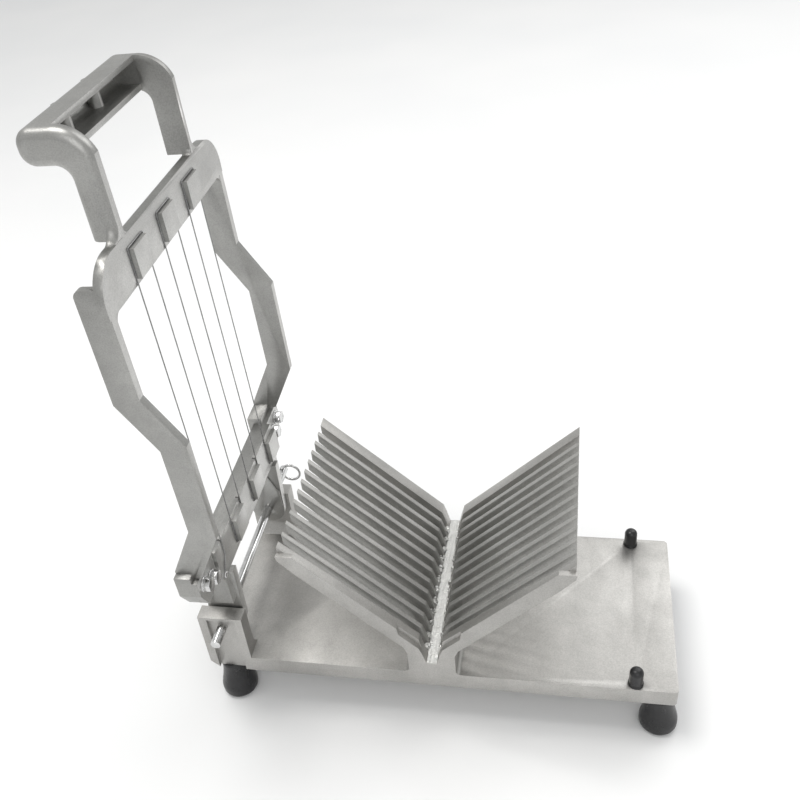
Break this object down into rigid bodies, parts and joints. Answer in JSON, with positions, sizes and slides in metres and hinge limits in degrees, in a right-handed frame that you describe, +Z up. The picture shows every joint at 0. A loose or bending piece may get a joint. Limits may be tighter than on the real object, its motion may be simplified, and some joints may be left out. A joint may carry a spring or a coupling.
{
  "type": "egg slicer",
  "caption": "Bench egg slicer: cast base with a slotted V cradle on rubber feet, and a hinged cutting frame strung with parallel wires, a grip on top and a pull-out hinge rod.",
  "frame": {"origin": "the point on the floor under the middle of the object's bounding box at rest, with the frame open", "axes": "+Z up; +X from the hinge towards the rest stops, along the base; +Y away from the front"},
  "size_m": [0.3249, 0.1785, 0.4006],
  "materials": {
    "cast_aluminium": "satin, sand-blasted casting",
    "steel": "polished stainless steel",
    "wire": "drawn stainless wire",
    "rubber": "satin moulded rubber"
  },
  "bodies": {
    "base": {"base_plate": "cast_aluminium", "cradle_pedestal": "cast_aluminium", "cradle_left_fins": "cast_aluminium", "cradle_right_fins": "cast_aluminium", "cradle_front_wall": "cast_aluminium", "cradle_back_wall": "cast_aluminium", "lug_front": "cast_aluminium", "lug_back": "cast_aluminium", "foot_front_left": "rubber", "foot_back_left": "rubber", "foot_front_right": "rubber", "foot_back_right": "rubber", "foot_screws": "steel", "stop_posts": "steel", "stop_cap_front": "rubber", "stop_cap_back": "rubber"},
    "cutting_frame": {"handle_grip": "cast_aluminium", "handle_arm_front": "cast_aluminium", "handle_arm_back": "cast_aluminium", "upper_bar": "cast_aluminium", "side_arm_front": "cast_aluminium", "side_arm_back": "cast_aluminium", "lower_bar": "cast_aluminium", "hinge_ear_front": "cast_aluminium", "hinge_ear_back": "cast_aluminium", "clamp_bolts": "steel", "clamp_washers": "steel", "cutting_wires": "wire", "wire_turns": "wire", "anchor_screws": "steel"},
    "hinge_pin": {"hinge_pin": "steel"},
    "pull_ring": {"pull_ring": "steel"}
  },
  "joints": [
    {"name": "frame_hinge", "type": "hinge", "parent": "base", "child": "cutting_frame", "pos_m": [-0.12695, 0, 0.0714], "axis": [0, 1, 0], "range_deg": [0, 92.2]},
    {"name": "rod_pull", "type": "slide", "parent": "base", "child": "hinge_pin", "axis": [0, 1, 0], "range_m": [0, 0.14]},
    {"name": "ring_swing", "type": "hinge", "parent": "hinge_pin", "child": "pull_ring", "pos_m": [-0.12695, 0.0875, 0.0714], "axis": [0, 0, 1], "range_deg": [-65, 80]}
  ]
}
